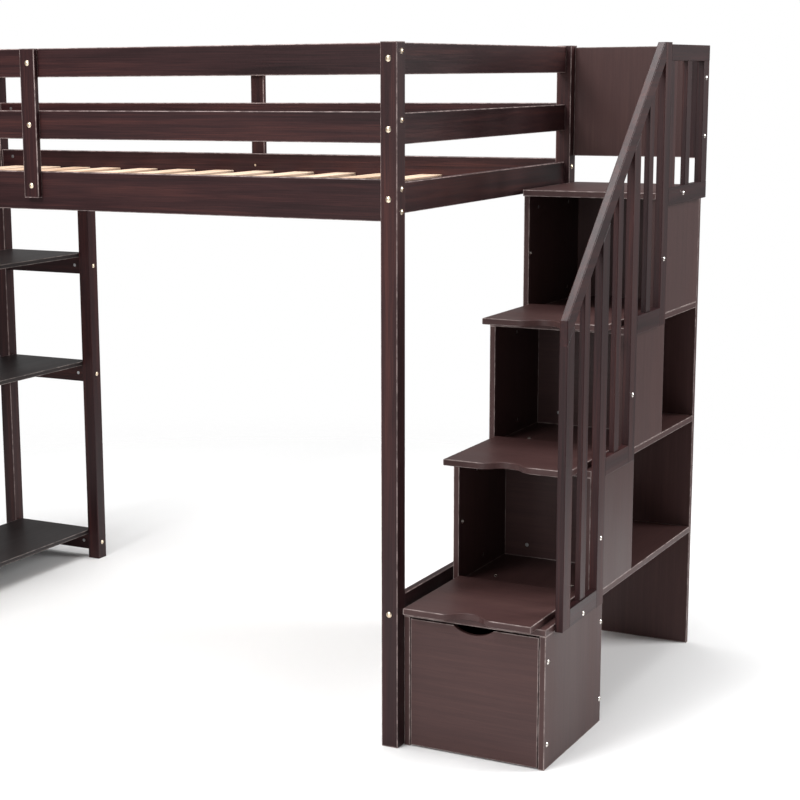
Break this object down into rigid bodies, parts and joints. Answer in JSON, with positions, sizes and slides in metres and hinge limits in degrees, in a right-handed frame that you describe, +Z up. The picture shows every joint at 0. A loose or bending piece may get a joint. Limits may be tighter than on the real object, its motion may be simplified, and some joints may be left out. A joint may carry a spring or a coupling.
{
  "type": "loft bed with storage stair",
  "caption": "High single loft bed with guard rails all round, a slatted deck, a side stair of storage boxes with a handrail and a pull-out drawer, and a shelf tower below.",
  "frame": {"origin": "middle of the bounding box at floor level", "axes": "+Z up, +X along the bed's length towards the stair, +Y from the open front to the back"},
  "size_m": [2.3923, 1.1137, 1.638],
  "materials": {
    "dark_stained_wood": "semi-gloss dark brown stain with faint reddish grain",
    "pale_pine": "raw planed pine",
    "brass_hardware": "bright brass-coloured plating",
    "nickel_hardware": "bright nickel-coloured plating"
  },
  "bodies": {
    "bed": {"barrel_nuts": "nickel_hardware", "bed_slats": "pale_pine", "drawer_runners": "dark_stained_wood", "first_level_board": "dark_stained_wood", "first_step_back_wall": "dark_stained_wood", "first_step_left_panel": "dark_stained_wood", "first_step_right_panel": "dark_stained_wood", "first_tread": "dark_stained_wood", "fourth_step_left_panel": "dark_stained_wood", "fourth_step_right_panel": "dark_stained_wood", "frame_bolts": "brass_hardware", "front_left_corner_post": "dark_stained_wood", "front_middle_board": "dark_stained_wood", "front_middle_guard_rail": "dark_stained_wood", "front_right_corner_post": "dark_stained_wood", "front_side_rail": "dark_stained_wood", "front_top_guard_rail": "dark_stained_wood", "guard_corner_cleat": "dark_stained_wood", "handrail_balusters": "dark_stained_wood", "handrail_foot_rails": "dark_stained_wood", "handrail_lower_posts": "dark_stained_wood", "handrail_sloping_rail": "dark_stained_wood", "handrail_top_post": "dark_stained_wood", "high_shelf": "dark_stained_wood", "landing": "dark_stained_wood", "left_end_rails": "dark_stained_wood", "low_shelf": "dark_stained_wood", "middle_shelf": "dark_stained_wood", "panel_bolts": "nickel_hardware", "rear_guard_panel": "dark_stained_wood", "rear_left_corner_post": "dark_stained_wood", "rear_middle_board": "dark_stained_wood", "rear_middle_guard_rail": "dark_stained_wood", "rear_right_corner_post": "dark_stained_wood", "rear_side_rail": "dark_stained_wood", "rear_top_guard_rail": "dark_stained_wood", "right_end_low_stretcher": "dark_stained_wood", "right_end_lower_rail": "dark_stained_wood", "right_end_middle_rail": "dark_stained_wood", "right_end_top_rail": "dark_stained_wood", "second_level_board": "dark_stained_wood", "second_step_back_wall": "dark_stained_wood", "second_step_left_panel": "dark_stained_wood", "second_step_right_panel": "dark_stained_wood", "second_tread": "dark_stained_wood", "shelf_cross_rails": "dark_stained_wood", "side_guard_rails": "dark_stained_wood", "side_guard_uprights": "dark_stained_wood", "slat_ledgers": "dark_stained_wood", "stair_rear_panel": "dark_stained_wood", "third_level_board": "dark_stained_wood", "third_step_back_wall": "dark_stained_wood", "third_step_left_panel": "dark_stained_wood", "third_step_right_panel": "dark_stained_wood", "third_tread": "dark_stained_wood", "tower_posts": "dark_stained_wood"},
    "drawer": {"drawer_back": "dark_stained_wood", "drawer_bottom": "dark_stained_wood", "drawer_front": "dark_stained_wood", "drawer_sides": "dark_stained_wood"}
  },
  "joints": [
    {"name": "drawer_slide", "type": "slide", "parent": "bed", "child": "drawer", "axis": [0, -1, 0], "range_m": [0, 0.26]}
  ]
}
